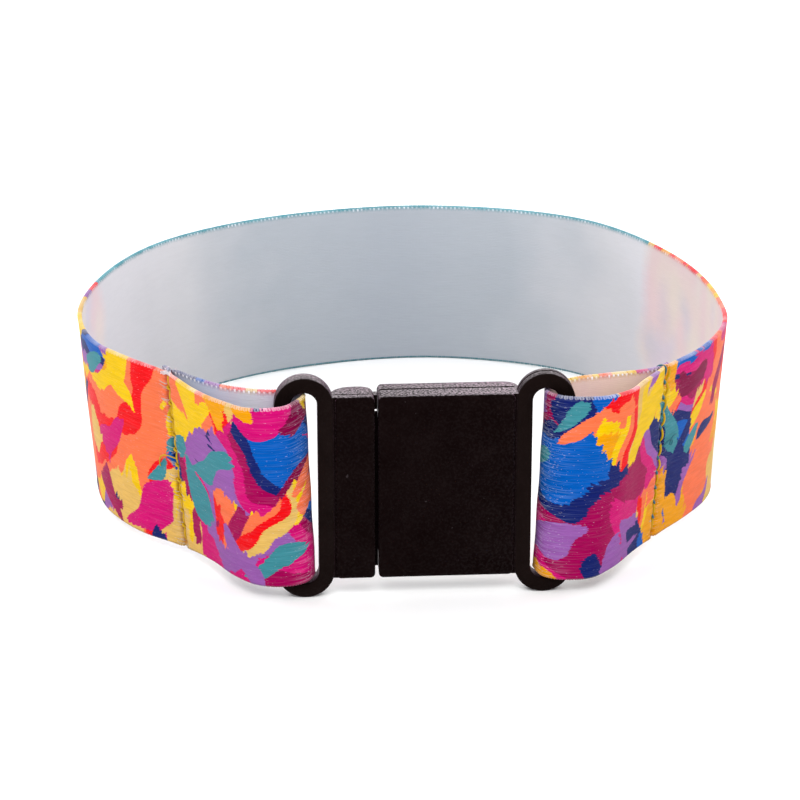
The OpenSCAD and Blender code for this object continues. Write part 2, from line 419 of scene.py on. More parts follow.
# Stations of a loop: along the ribbon, out of the printed face and past the edge, in mm
LOOP_PATH = np.array([
    [-0.06, -0.06, -0.20], [-0.04, -0.01, -0.05], [-0.01, -0.12, 0.07],
    [0.02, -0.30, 0.07], [0.05, -0.42, -0.04], [0.07, -0.44, -0.16]])
LOOP_TAPER = np.array([0.5, 1, 1, 1, 1.1, 0.7])[None, :, None]
LONG_LEG = 0.15  # a beaded loop reaches further down the plain side
BEAD_SEGMENTS = 1  # how much of it is paler


def tube_faces(stations, sides, first):
    quads = []
    for i in range(stations - 1):
        for k in range(sides):
            a, b = first + i * sides + k, first + i * sides + (k + 1) % sides
            quads.append((a, b, b + sides, a + sides))
    return quads


def loop_row(share, long_leg):
    places = np.arange(LOOP_PITCH, RIBBON_L - LOOP_PITCH, LOOP_PITCH)
    chance = np.random.default_rng(3)
    places = places + chance.uniform(-LOOP_JITTER, LOOP_JITTER, len(places))
    leg = long_leg * (np.arange(len(places)) % 2) * chance.uniform(0.5, 1.2, len(places))
    across = np.full(len(places), share)
    stations = []
    for number, (shift, out, past) in enumerate(LOOP_PATH):
        spot = np.clip(places + shift, 0, RIBBON_L)
        longer = leg if number == len(LOOP_PATH) - 1 else 0
        height = out * (1 - 0.3 * closeness(spot, SEAMS, 3.0)) + relief(spot, across)
        stations.append(on_ribbon(spot, across, height, past - EDGE_IN - longer))
    stations = np.array(stations).transpose(1, 0, 2)
    forward = np.gradient(stations, axis=1)
    forward /= np.linalg.norm(forward, axis=2)[..., None]
    axis = on_ribbon(places + 0.05, across) - on_ribbon(places - 0.05, across)
    axis = (axis / np.linalg.norm(axis, axis=1)[:, None])[:, None, :]
    side = np.cross(forward, axis)
    side /= np.linalg.norm(side, axis=2)[..., None]
    rings = []
    for k in range(LOOP_SIDES):
        turn = 2 * math.pi * k / LOOP_SIDES
        spread = side * math.cos(turn) * LOOP_THICK + axis * math.sin(turn) * LOOP_ALONG
        rings.append(stations + spread * MM * LOOP_TAPER)
    points = np.array(rings).transpose(1, 2, 0, 3).reshape(-1, 3)
    count = len(LOOP_PATH) * LOOP_SIDES
    faces = []
    for first in range(0, len(places) * count, count):
        faces += tube_faces(len(LOOP_PATH), LOOP_SIDES, first)
        faces.append(tuple(first + k for k in reversed(range(LOOP_SIDES))))
        faces.append(tuple(first + count - LOOP_SIDES + k for k in range(LOOP_SIDES)))
    spots = np.column_stack([places / RIBBON_L, np.full(len(places), abs(share - 0.008))])
    return points, faces, np.repeat(spots, count, axis=0)


def selvage(name, share, long_leg):
    points, faces, uv = loop_row(share, long_leg)
    mesh = bpy.data.meshes.new(name)
    mesh.from_pydata(points.tolist(), [], faces)
    piece = link(name, mesh)
    corner = np.zeros(len(mesh.loops), int)
    mesh.loops.foreach_get("vertex_index", corner)
    mesh.uv_layers.new(name="flat").data.foreach_set("uv", uv[corner].ravel())
    per_loop = (len(LOOP_PATH) - 1) * LOOP_SIDES + 2
    number, order = np.divmod(np.arange(len(faces)), per_loop)
    bead = (order >= (len(LOOP_PATH) - 1 - BEAD_SEGMENTS) * LOOP_SIDES) & (order != per_loop - 2)
    mesh.materials.append(None)
    mesh.materials.append(None)
    mesh.polygons.foreach_set("material_index", (bead & (number % 2 == 1) & (long_leg > 0)).astype(int))
    edit_all(piece, bpy.ops.mesh.normals_make_consistent, inside=False)
    return smooth(piece, 80)


selvage_low = selvage("selvage_low", 0.0, 0.0)
selvage_high = selvage("selvage_high", 1.0, LONG_LEG)
print("selvage loops:", 2 * int((RIBBON_L - 2 * LOOP_PITCH) / LOOP_PITCH))

# %% [markdown]
# ## Sewing thread
# Each seam is a lockstitch: one thread on the outer face, one on the tail, knotted in the holes
# between. A thread is a curve with a round bevel, turned into a mesh. Its points are worked out on
# the ribbon, so it lies in the furrow.

# %% A thread through points on the ribbon
NEEDLE_R, KNOT_R, EDGE_THREAD_R, FINE_R = 0.125, 0.13, 0.1, 0.07  # radii, in mm
SEAM_WHISKER_R, DRAG_R, WHISKER_R = 0.045, 0.04, 0.03


def thread(name, points, radius, detail=2):
    curve = bpy.data.curves.new(name, "CURVE")
    curve.dimensions = "3D"
    curve.bevel_depth = radius * MM
    curve.bevel_resolution = detail
    curve.resolution_u = 2 * detail
    curve.use_fill_caps = True
    spline = curve.splines.new("NURBS")
    spline.points.add(len(points) - 1)
    for point, place in zip(spline.points, points):
        point.co = (*place, 1)
    spline.order_u = 3
    spline.use_endpoint_u = True
    pick(link(name, curve))
    bpy.ops.object.convert(target="MESH")
    return smooth(bpy.context.object, 80)


def over_ribbon(place, shape):
    """Rows of along, width and height in mm, measured from a seam, as points in the frame."""
    along, width, height = np.array(shape).T
    floor = relief(place + along, np.clip(width / RIBBON_W, 0, 1))
    return on_ribbon(place + along, width / RIBBON_W, floor + height)


def stitch_line(name, place, slack, height, drift=0.0):
    """One thread of a seam, from hole to hole across the ribbon, drifting aside towards the top."""
    rows = []
    hole = FIRST_HOLE
    while hole < RIBBON_W - 1.2:
        for ahead, out in ((0.0, -0.16), (0.2, 0.02), (0.5, height), (0.8, 0.02)):
            width = min(hole + ahead * STITCH, RIBBON_W - 0.4)
            aside = slack * noise.noise(Vector((width * 0.9, place, 0))) - drift * width / RIBBON_W
            rows.append((aside - 0.05, width, out))
        hole += STITCH
    return thread(name, over_ribbon(place, rows), NEEDLE_R)


DRIFT = {"left_seam": 0.1, "right_seam": 0.45}
seam_threads = {seam: stitch_line("thread_" + seam, row_place[seam], 0.16, 0.08, DRIFT.get(seam, 0.0))
                for seam in SEAMS}


# %% Knots where the inner thread comes up through the holes
KNOT = np.array([[-0.24, -0.16, -0.12], [-0.14, -0.06, 0.12], [0.02, 0.0, 0.2],
                 [0.18, 0.07, 0.12], [0.30, 0.18, -0.12]])


def knots(name, place, lean):
    made = []
    for number, hole in enumerate(np.arange(FIRST_HOLE + STITCH, RIBBON_W - 1.5, STITCH)):
        points = over_ribbon(place, KNOT * (1, lean, 1) + (0, hole, 0))
        made.append(thread(f"{name}_{number}", points, KNOT_R))
    return join(name, made)


right_knots = knots("knots_right_seam", row_place["right_seam"], 2.2)
left_knots = knots("knots_left_seam", row_place["left_seam"], 1.0)

# %% Loose ends, as the machine leaves them
left_curl = thread("loose_end_left", over_ribbon(row_place["left_seam"], [
    [-0.1, 10.1, -0.1], [0.3, 10.5, 0.3], [0.9, 10.7, 0.5], [1.5, 10.5, 0.55],
    [2.0, 10.0, 0.45], [2.3, 9.4, 0.3], [2.4, 8.9, 0.15]]), FINE_R)
right_curl = thread("loose_end_right", over_ribbon(row_place["right_seam"], [
    [-0.1, 10.2, -0.1], [-0.5, 10.9, 0.3], [-1.1, 11.5, 0.5], [-1.6, 11.3, 0.55], [-1.5, 10.7, 0.5],
    [-1.1, 10.8, 0.45], [-1.5, 11.4, 0.4], [-2.3, 11.6, 0.3], [-2.9, 11.4, 0.2]]), FINE_R)
over_edge = thread("thread_over_edge", over_ribbon(row_place["right_seam"], [
    [-0.1, 18.9, -0.05], [-0.1, 19.5, 0.12], [-0.05, 19.9, 0.08], [0.15, 20.02, -0.25], [0.35, 19.98, -0.6],
    [0.5, 19.6, -1.05], [0.5, 19.0, -1.15]]), EDGE_THREAD_R)

# %% [markdown]
# The needle also pulls at the satin. Single pale threads are dragged out beside the holes, and the
# cut ends of the ribbon fray into short whiskers. Both are thin, tapering hairs, many in one mesh.

# %% Dragged threads
random.seed(7)
draw = random.uniform
HAIRS_PER_HOLE = {"left_seam": 4, "right_seam": 1, "left_tail_seam": 1, "right_tail_seam": 1}
# Shares of the reach and of the rise, and the height in mm
HAIR_SHAPE = ((0, 0, -0.02), (0.3, 0.35, 0.045), (0.7, 0.75, 0.045), (1, 1, -0.03))
dragged = []
for seam, count in HAIRS_PER_HOLE.items():
    for hole in np.arange(FIRST_HOLE, RIBBON_W - 1, STITCH):
        for number in range(random.randint(count - 1, count)):
            side = random.choice((-1, 1, 1, 1))
            start, width = side * draw(0.15, 0.3), hole + draw(-0.45, 0.45)
            reach = side * draw(0.4, 1.2)
            rise = reach * draw(0.1, 0.3)
            rows = [[start + reach * a, width + rise * b, out] for a, b, out in HAIR_SHAPE]
            dragged.append(thread("drag", over_ribbon(row_place[seam], rows), DRAG_R, 1))
dragged = join("dragged_threads", dragged)

# %% Whiskers: at the two cut ends, at the corner that peeps out and at the left seam
END_WHISKERS, CORNER_WHISKERS, SEAM_WHISKERS = 46, 26, 30
THREE, FOUR = np.array([0, 0.4, 1]), np.array([0, 0.3, 0.7, 1])
HALFWAY = np.array([0, 0.5, 1])
whiskers = []
for name, end, way_out in (("left", 0.0, -1), ("right", RIBBON_L, 1)):
    for number in range(END_WHISKERS):
        width = 0.2 + (RIBBON_W - 0.4) * (number + draw(-0.4, 0.4)) / (END_WHISKERS - 1)
        width = min(max(width, 0.1), RIBBON_W - 0.1)
        length, bend, lift_out = draw(0.15, 0.7), draw(-0.3, 0.3), draw(-0.2, 0.25)
        across = (width + THREE * bend) / RIBBON_W
        base = on_ribbon([end] * 3, across, -0.2 + HALFWAY * lift_out)
        outward = on_ribbon([end], across[:1])[0] - on_ribbon([end - way_out * 0.3], across[:1])[0]
        outward = outward / np.linalg.norm(outward) * MM
        points = base + outward * np.array([[-0.1], [length * 0.5], [length]])
        whiskers.append(thread(f"whisker_{name}_{number}", points, WHISKER_R, 1))
for number in range(CORNER_WHISKERS):
    across = draw(0.93, 1.0) + THREE * draw(0.0, 0.04)
    place = draw(0.1, 2.4) + HALFWAY * draw(-0.8, 0.8)
    height = draw(-0.5, 0.0) + np.array([0, 0.3, 0.1])
    if place.min() > -AHEAD:  # further out the ribbon has no direction, and the hair is left out
        whiskers.append(thread(f"whisker_corner_{number}", on_ribbon(place, across, height), WHISKER_R, 1))
for number in range(SEAM_WHISKERS):
    start, height = draw(-1.0, 0.4), draw(-0.25, 0.08)
    place = row_place["left_seam"] + start + FOUR * draw(0.4, 1.0)
    across = (RIBBON_W + draw(-0.3, 0.02) + np.array([-0.1, 0.05, 0.05, -0.1])) / RIBBON_W
    points = on_ribbon(place, across, height + np.array([0, 0.06, 0.06, 0]) + relief(place, np.ones(4)))
    whiskers.append(thread(f"whisker_seam_{number}", points, SEAM_WHISKER_R, 1))
whiskers = join("frayed_ends", whiskers)
print("faces of the hairs:", len(dragged.data.polygons), len(whiskers.data.polygons))

# %% [markdown]
# ## The buckle
# Both halves are moulded plastic: a flat ring with a slot for the ribbon, and a block. A cube is
# rounded by bevels of its own edges, and slots and grooves are cut with booleans. Each form gets
# a fine bevel while it is still simple, and then the forms are united. A block is made of two
# slabs: the front one stops short of the ring, and the back one, with its rounded back, runs into it.

# %% Sizes of the buckle, in mm from its middle
SLOT_PITCH, RING_H, RING_W, BAR_W, RIM_W, RING_T = 23.9, 23.2, 5.85, 1.6, 1.5, 2.0
BODY_H, FRONT_PROUD, SOCKET_T, PLUG_T = 19.2, 0.15, 4.15, 3.55
SHOULDER_L, MOUTH_GAP = 4.03, 0.36
TONGUE_L, TONGUE_W, TONGUE_T, TONGUE_GAP = 9.6, 14.2, 1.6, 0.15
ring_x = SLOT_PITCH / 2
body_end = ring_x - RING_W / 2
body_z = (RING_H - BODY_H) / 2
front_y = -RING_T / 2 - FRONT_PROUD
shoulder_end = -body_end + SHOULDER_L
mouth_x = shoulder_end + MOUTH_GAP
tongue_y = front_y + SOCKET_T / 2


# %% A cube between two corners
def cuboid(name, low, high):
    deselect_all()
    middle = [(a + b) / 2 * MM for a, b in zip(low, high)]
    size = [(b - a) * MM for a, b in zip(low, high)]
    bpy.ops.mesh.primitive_cube_add(size=1, location=Vector(middle) + buckle_middle, scale=size)
    bpy.ops.object.transform_apply(location=True, rotation=True, scale=True)
    piece = bpy.context.object
    piece.name = name
    return piece


# %% Bevels on chosen edges
TINY = 0.001 * MM  # places closer than this are the same


def at_corner(piece, place, corner):
    """Whether a place is at the corner of the plan that the signs of X and Y name."""
    ends = [max(v.co[k] * corner[k] for v in piece.data.vertices) for k in (0, 1)]
    return all(abs(place[k] * corner[k] - ends[k]) < TINY for k in (0, 1))


def bevel_where(piece, chosen, radius, segments):
    """Rounds the edges for whose two ends the given test is true."""
    pick(piece)
    bpy.ops.object.mode_set(mode="EDIT")
    bpy.ops.mesh.select_mode(type="EDGE")
    bpy.ops.mesh.select_all(action="DESELECT")
    bpy.ops.object.mode_set(mode="OBJECT")
    for edge in piece.data.edges:
        edge.select = chosen(*(piece.data.vertices[i].co for i in edge.vertices))
    bpy.ops.object.mode_set(mode="EDIT")
    bpy.ops.mesh.bevel(offset=radius * MM, segments=segments, affect="EDGES", clamp_overlap=False)
    bpy.ops.object.mode_set(mode="OBJECT")
    return piece


def bevel_edges(piece, direction, radius, segments, corner=None):
    """Rounds the edges that run along one axis (0, 1, 2), or the one at a corner of the plan."""
    def chosen(a, b):
        runs = abs((b - a).normalized()[direction]) > 0.99
        return runs and (corner is None or at_corner(piece, a, corner))
    return bevel_where(piece, chosen, radius, segments)


def bevel_front(piece, radius, segments):
    """Rounds the rim of the front face, all the way round."""
    front = min(v.co.y for v in piece.data.vertices) + TINY
    return bevel_where(piece, lambda a, b: a.y < front and b.y < front, radius, segments)


# %% A slot's long round form, cuts and unions, and a fine bevel
def stadium(name, x, width, low_z, high_z, low_y, high_y):
    piece = cuboid(name, (x - width / 2, low_y, low_z), (x + width / 2, high_y, high_z))
    return bevel_edges(piece, 1, width / 2 * 0.998, 18)


def boolean(piece, tool, operation):
    modify(piece, "BOOLEAN", operation=operation, solver="EXACT", object=tool)
    bpy.data.objects.remove(tool)
    return piece


def soften(piece, width, segments=2, clamp=True):
    return modify(piece, "BEVEL", width=width * MM, segments=segments, limit_method="ANGLE",
                  angle_limit=math.radians(40), use_clamp_overlap=clamp)


# %% Ring and block
EDGE_R, CORNER_R, RING_EDGE, SOFT_R = 0.24, 0.45, 0.2, 0.12
RING_GAP, INTO_RING = 0.15, 0.35  # the front slab stops short of the ring, the back one goes into it
WEB_BACK, SLAB_LAP = 0.28, 0.5  # from the flat front to the back slab, and how far the slabs overlap
BACK_INSET = 0.02  # the back slab is smaller by a hair, so that no two faces fall in one plane


def ring(name, side, groove=0.0):
    """A stadium with a stadium cut out, and where asked a mould line round its middle."""
    x, half = side * ring_x, RING_T / 2
    piece = stadium(name, x, RING_W, 0, RING_H, -half, half)
    slot = stadium("slot", x, RING_W - 2 * BAR_W, RIM_W, RING_H - RIM_W, -RING_T, RING_T)
    boolean(piece, slot, "DIFFERENCE")
    soften(piece, RING_EDGE, 3, clamp=False)
    if groove:
        line = stadium("line", x, RING_W + 1, -0.5, RING_H + 0.5, 0.07, 0.33)
        core = stadium("core", x, RING_W - 2 * groove, groove, RING_H - groove, -RING_T, RING_T)
        boolean(line, core, "DIFFERENCE")
        boolean(piece, line, "DIFFERENCE")
    return piece


def slab(mouth, end, low_y, high_y, inset=0.0):
    low_x, high_x = sorted((mouth, end))
    return cuboid("slab", (low_x, low_y, body_z + inset), (high_x, high_y, body_z + BODY_H - inset))


def block(side, mouth, thickness, ring_r, mouth_r):
    """The front slab has a rounded rim. The back one is cut to a plan and to an outline."""
    web_y, back_y = front_y + WEB_BACK, front_y + thickness
    front = slab(mouth, side * (body_end - RING_GAP), front_y, web_y + SLAB_LAP)
    bevel_front(bevel_edges(front, 1, CORNER_R, 5), EDGE_R, 4)
    mouth += side * BACK_INSET
    back = slab(mouth, side * (body_end + INTO_RING), web_y, back_y, BACK_INSET)
    bevel_edges(back, 2, ring_r, 10, (side, 1))
    bevel_edges(back, 2, mouth_r, 8, (-side, 1))
    outline = slab(mouth, side * (body_end + RING_W), web_y - 1, back_y + 1, BACK_INSET)
    boolean(back, bevel_edges(outline, 1, CORNER_R, 5), "INTERSECT")
    return boolean(front, soften(back, SOFT_R), "UNION")


def mould_line(piece, low_x, high_x, y, width, depth):
    """A groove across the upper and the lower face, where the two parts of the mould meet."""
    for low_z, high_z in ((body_z - 1, body_z + depth), (body_z + BODY_H - depth, body_z + BODY_H + 1)):
        groove = cuboid("groove", (low_x, y - width / 2, low_z), (high_x, y + width / 2, high_z))
        boolean(piece, groove, "DIFFERENCE")


# %% Left half: ring, shoulder and the hidden tongue
ROOT = 0.3  # how far the tongue and the lips are rooted in the shoulder
plug = ring("plug_half", -1)
boolean(plug, block(-1, shoulder_end, PLUG_T, ring_r=2.35, mouth_r=1.5), "UNION")
mould_line(plug, -body_end, shoulder_end + 1, y=0.05, width=0.2, depth=0.08)
tongue_low = (shoulder_end - ROOT, tongue_y - TONGUE_T / 2, RING_H / 2 - TONGUE_W / 2)
tongue_high = (mouth_x + TONGUE_L, tongue_y + TONGUE_T / 2, RING_H / 2 + TONGUE_W / 2)
boolean(plug, soften(cuboid("tongue", tongue_low, tongue_high), 0.2), "UNION")

# %% Two lips close the gap at the mouth, all but a small hole that light comes through
LIP_SHORT = 0.04  # they stop just before the other half
LIPS = ((-0.85, -0.5, body_z + 0.88, tongue_high[2] + 0.58),  # from, to in depth; from, to in height
        (-0.5, 0.5, tongue_high[2] + 0.74, body_z + BODY_H - 0.25))
for low_y, high_y, low_z, high_z in LIPS:
    lip = cuboid("lip", (shoulder_end - ROOT, tongue_y + low_y, low_z),
                 (mouth_x - LIP_SHORT, tongue_y + high_y, high_z))
    boolean(plug, lip, "UNION")
smooth(plug, 30)

# %% Right half: ring, block, pocket and the line where the mould closes
socket = ring("socket_half", 1, groove=0.16)
boolean(socket, block(1, mouth_x, SOCKET_T, ring_r=1.5, mouth_r=0.6), "UNION")
pocket_low = [mouth_x - 1] + [v - TONGUE_GAP for v in tongue_low[1:]]
pocket_high = [v + TONGUE_GAP for v in tongue_high]
boolean(socket, cuboid("pocket", pocket_low, pocket_high), "DIFFERENCE")
mould_line(socket, mouth_x - 1, body_end, y=front_y + 0.6 * SOCKET_T, width=0.3, depth=0.13)
smooth(socket, 30)
print("buckle faces:", len(plug.data.polygons), len(socket.data.polygons))


# %% [markdown]
# ## Materials
# A small helper adds a node and feeds its inputs in order: a socket is linked, a plain value is set.
# Sums, noise, mixes and ramps come up so often that each gets a short name of its own. All of them
# work on the node tree of the newest material, so that it needn't be named each time.

# %% Node helpers
def new_material(name, **values):
    """A material and its shader with some values set. The helpers below add to its node tree."""
    global tree
    material = bpy.data.materials.new(name)
    material.use_nodes = True
    tree = material.node_tree
    shader = tree.nodes["Principled BSDF"]
    for key, value in values.items():
        shader.inputs[key.replace("_", " ")].default_value = value
    return material, shader


def feed(socket, source):
    if isinstance(source, bpy.types.NodeSocket):
        tree.links.new(source, socket)
    elif source is not None:
        socket.default_value = source


def add(kind, *sources, out=0, **settings):
    made = tree.nodes.new("ShaderNode" + kind)
    for key, value in settings.items():
        setattr(made, key, value)
    for place, source in enumerate(sources):
        feed(made.inputs[place], source)
    return made.outputs[out]


# %% Sums on numbers and places
def sums(kind, operation):
    return lambda *sources: add(kind, *sources, operation=operation)


times, over, plus, minus = (sums("Math", name) for name in ("MULTIPLY", "DIVIDE", "ADD", "SUBTRACT"))
above, below, most = (sums("Math", name) for name in ("GREATER_THAN", "LESS_THAN", "MAXIMUM"))
moved, back_by, scaled = (sums("VectorMath", name) for name in ("ADD", "SUBTRACT", "MULTIPLY"))


def maths(operation, *sources):
    return add("Math", *sources, operation=operation)


def axes(place):
    return add("SeparateXYZ", place).node.outputs


# %% Noise, mixed colours, ramps and bumps
def clouds(dimensions, place, scale, detail, rough, out=0):
    """Soft noise on a line (1), on the flat cloth (2) or in space (3)."""
    where = (None, place) if dimensions == 1 else (place, None)
    return add("TexNoise", *where, scale, detail, rough, noise_dimensions=f"{dimensions}D", out=out)


def mix(share, first, second, blend="MIX"):
    result = add("Mix", data_type="RGBA", blend_type=blend, out=2)
    for place, source in ((0, share), (6, first), (7, second)):  # the inputs of a mix of colours
        feed(result.node.inputs[place], source)
    return result


def colour(text):
    """A linear colour from its six-digit screen code."""
    parts = [int(text[i:i + 2], 16) / 255 for i in (0, 2, 4)]
    return (*[c / 12.92 if c < 0.04045 else ((c + 0.055) / 1.055) ** 2.4 for c in parts], 1)


def grey(level):
    return (level, level, level, 1)


def ramp(source, stops, interpolation="LINEAR"):
    result = add("ValToRGB", source)
    result.node.color_ramp.interpolation = interpolation
    elements = result.node.color_ramp.elements
    while len(elements) < len(stops):
        elements.new(0.5)
    for element, (place, shade) in zip(elements, stops):
        element.position, element.color = place, shade
    return result


def grey_ramp(source, *stops):
    return ramp(source, [(place, grey(level)) for place, level in stops])


def bump(shader, height, depth_mm, strength):
    made = add("Bump", strength, depth_mm * MM).node
    feed(made.inputs["Height"], height)
    feed(shader.inputs["Normal"], made.outputs[0])


# %% [markdown]
# ## The print
# The real print covers the whole face with bold, flat colours and brushed, ragged edges. Two kinds of
# layer make such a design here. One cuts a soft noise into flat bands, like the lines of a map, which
# gives large nested shapes. The other is a Voronoi pattern stretched into strokes. Both are thrown to
# and fro by a noise that changes only across the brush, as bristles do.

# %% Colours of the print
YELLOW, AMBER, SAND, CORAL = colour("D8B000"), colour("D68F02"), colour("CCA556"), colour("DE6840")
RED, CRIMSON, MAGENTA, PINK = colour("D60810"), colour("76003A"), colour("900048"), colour("BC0866")
LILAC, TEAL, COBALT, NAVY = colour("875198"), colour("377C86"), colour("0150A4"), colour("101C5C")
TURQUOISE, TURQUOISE_LIT, TURQUOISE_DEEP = colour("3D8A97"), colour("42919E"), colour("398490")


def palette(*colours, low=0.0, high=1.0):
    step = (high - low) / len(colours)
    return [(0.0 if i == 0 else low + i * step, shade) for i, shade in enumerate(colours)]


# %% Coordinates for a layer of paint
def bristled(place, angle, size, seed, throw, bristle, wobble):
    """A place in mm, turned, bent, and thrown to and fro along the brush, then scaled to the layer."""
    turned = add("Mapping", place, (seed * 17.3, seed * 9.1, 0), (0, 0, math.radians(angle)))
    hair = clouds(1, times(axes(turned)[1], bristle), 1.0, 2.0, 0.7)
    hair = add("CombineXYZ", times(minus(hair, 0.5), throw * 2), 0.0, 0.0)
    bend = back_by(clouds(2, turned, 0.13, 1.0, 0.5, out="Color"), (0.5, 0.5, 0.5))
    bend = scaled(bend, (wobble * 2, wobble * 2, 0))
    return scaled(moved(moved(turned, bend), hair), (1 / size[0], 1 / size[1], 1))


# %% Bands and dabs
SPOT_REACH, DISORDER = 0.45, 0.85  # how far a dab spreads in its cell, and how irregular the cells are


def bands(place, angle, size, seed, colours):
    at = bristled(place, angle, size, seed, 1.1, 0.9, 3.0)
    return ramp(clouds(2, at, 1.0, 0.6, 0.5), palette(*colours, low=0.27, high=0.73), "CONSTANT")


def dabs(place, angle, size, seed, colours, share, under, throw=1.0, wobble=2.2):
    """Brush dabs over what lies under: rounded spots in a share of the Voronoi cells."""
    at = bristled(place, angle, size, seed, throw, 1.2, wobble)
    cells = add("TexVoronoi", at, None, 1.0, voronoi_dimensions="2D").node
    cells.inputs["Randomness"].default_value = DISORDER
    split = add("SeparateColor", cells.outputs["Color"]).node.outputs
    paint = ramp(split[0], palette(*colours), "CONSTANT")
    near = below(cells.outputs["Distance"], SPOT_REACH)
    there = times(below(split[1], share), near)
    return mix(there, under, paint)


# %% The flat ribbon's own coordinates in mm
def flat_place():
    """The place on the flat ribbon, its length and its width."""
    place = scaled(add("UVMap", uv_map="flat"), (RIBBON_L, RIBBON_W, 0))
    return place, *axes(place)[:2]


def along_threads(place):
    """The print's own place: its ink has crept a little to and fro along each thread."""
    creep = minus(clouds(1, axes(place)[1], 7.0, 1.0, 0.6), 0.5)
    return moved(place, add("CombineXYZ", times(creep, 0.5), 0.0, 0.0))


def distance(length, middle):
    return maths("ABSOLUTE", minus(length, middle))


# %% Layers of the print: angle in degrees, size in mm, seed and colours of each
# Place along the ribbon in mm, and how much of the ground is warm there: 0 none, 1 all
WARM_LIMIT = ((0, 0.36), (16, 0.42), (34, 0.44), (44, 0.64),
              (208, 0.64), (220, 0.44), (236, 0.42), (244, 0.6))
BACK_MIDDLE, BACK_HALF, BACK_RAGGED = 121.7, 45.3, 8.0  # the turquoise, in mm; its ends are ragged


def ragged(place, angle, size, seed, throw):
    return clouds(2, bristled(place, angle, (size, size), seed, throw, 1.0, 2.0), 1.0, 0.5, 0.5)


def print_colour(place):
    """The colour of the print at a place, and whether that is the turquoise of the back."""
    length = axes(place)[0]
    warm = bands(place, 62, (20, 12), 1, (YELLOW, SAND, RED, CORAL, YELLOW, AMBER, CORAL))
    warm = dabs(place, 75, (12, 7), 8, (YELLOW, CORAL, RED, SAND, AMBER), 0.4, warm, 1.4, 3.5)
    warm = dabs(place, 50, (9, 3.2), 14, (MAGENTA, AMBER, LILAC, PINK), 0.2, warm, 1.2, 3.0)
    cool = bands(place, -35, (22, 13), 2, (COBALT, NAVY, LILAC, PINK, MAGENTA, NAVY, COBALT))
    cool = dabs(place, -20, (12, 7), 3, (MAGENTA, PINK, CRIMSON, LILAC, NAVY, PINK), 0.4, cool, 1.4, 3.5)
    cool = dabs(place, 15, (8, 3), 15, (TEAL, CRIMSON, LILAC, COBALT), 0.2, cool, 1.2, 3.0)

    limits = ((mm / RIBBON_L, level) for mm, level in WARM_LIMIT)
    limit = grey_ramp(over(length, RIBBON_L), *limits)
    is_cool = above(ragged(place, 70, 11, 5, 1.4), limit)
    ground = mix(is_cool, warm, cool)
    ground = dabs(place, -58, (9, 3.4), 4, (MAGENTA, YELLOW, AMBER, TEAL, LILAC, CORAL), 0.14, ground)
    ground = dabs(place, 35, (5, 2), 6, (NAVY, PINK, YELLOW, CORAL, TEAL), 0.07, ground, 0.7)

    back = bands(place, 12, (26, 9), 7, (TURQUOISE, TURQUOISE_LIT, TURQUOISE, TURQUOISE_DEEP))
    from_back = plus(distance(length, BACK_MIDDLE), times(ragged(place, 78, 6, 9, 2.0), BACK_RAGGED))
    behind = below(from_back, BACK_HALF + BACK_RAGGED / 2)
    return mix(behind, ground, back), behind


# %% [markdown]
# ## Satin
# Satin shows long threads that run with the ribbon. They give a stretched gloss, fine streaks and,
# where the cloth is folded or sewn, pale specks of unprinted thread. The plain side takes up a little
# of the print: bluish behind the turquoise, and a soft rose and cream elsewhere. Near the folds and
# seams the colour also carries painted shade, and pale streaks of painted sheen.

# %% Threads of the satin, as colour
# The second colour here is painted sheen, added in pale streaks near folds and seams; the first is pale
# unprinted thread.
SPECK, PAINTED_SHEEN = (0.6, 0.55, 0.62, 1), (0.08, 0.1, 0.12, 1)
# Both colours on the next line are painted shade: in the needle holes and along the crease beside the
# thread.
PAINTED_HOLE_SHADE, PAINTED_CREASE_SHADE = (0.55, 0.12, 0.0, 1), (0.2, 0.06, 0.03, 1)


def float_noise(place, along_mm, across_mm, seed):
    stretched = scaled(place, (1 / along_mm, 1 / across_mm, 0))
    return clouds(2, moved(stretched, (seed, seed, 0)), 1.0, 1.0, 0.5)


def thread_colour(place, base, tone_depth, speck_level, sheen_lines):
    strain_and_shade, bend, hole, crease_shade = (add("Attribute", attribute_name=name, out="Fac")
                                  for name in ("strain_and_shade", "bend", "furrow", "crease_shade"))
    streaks = plus(float_noise(place, 1.3, 0.14, 5), float_noise(place, 4.0, 0.5, 21))
    streaks = grey_ramp(times(streaks, 0.5), (0.38, 0), (0.62, 1))
    # The streaks darken more near the folds and seams, which is partly painted shade.
    depth = times(plus(strain_and_shade, 0.8), tone_depth)
    tone = minus(1.0, times(minus(1.0, streaks), depth))
    base = mix(1.0, base, add("CombineColor", tone, tone, tone), "MULTIPLY")
    level = minus(speck_level, times(strain_and_shade, 0.12))
    specks = above(float_noise(place, 0.5, 0.085, 11), level)
    base = mix(times(specks, 0.4), base, SPECK)
    # Painted sheen: pale streaks added near the folds and seams, where satin catches the light.
    pale = grey_ramp(float_noise(place, 3.2, 0.13, 31), (0.48, 0), (0.72, 1))
    lines = most(bend, plus(times(strain_and_shade, 0.4), sheen_lines))
    base = mix(times(pale, lines), base, PAINTED_SHEEN, "ADD")
    # Painted shade in the needle holes.
    base = mix(times(hole, 0.8), base, PAINTED_HOLE_SHADE, "MULTIPLY")
    # Painted shade along the crease beside the thread.
    base = mix(times(crease_shade, 0.75), base, PAINTED_CREASE_SHADE, "MULTIPLY")
    # Painted shade: the colour goes darker still where the strain is highest, in the folds and seams.
    return mix(times(maths("POWER", strain_and_shade, 6.0), 0.3), base, grey(0))


# %% Satin finish, with its floating threads as relief
FLOATS = {"Scale": 1.0, "Mortar Size": 0.03, "Mortar Smooth": 0.6, "Brick Width": 0.9, "Row Height": 0.2}


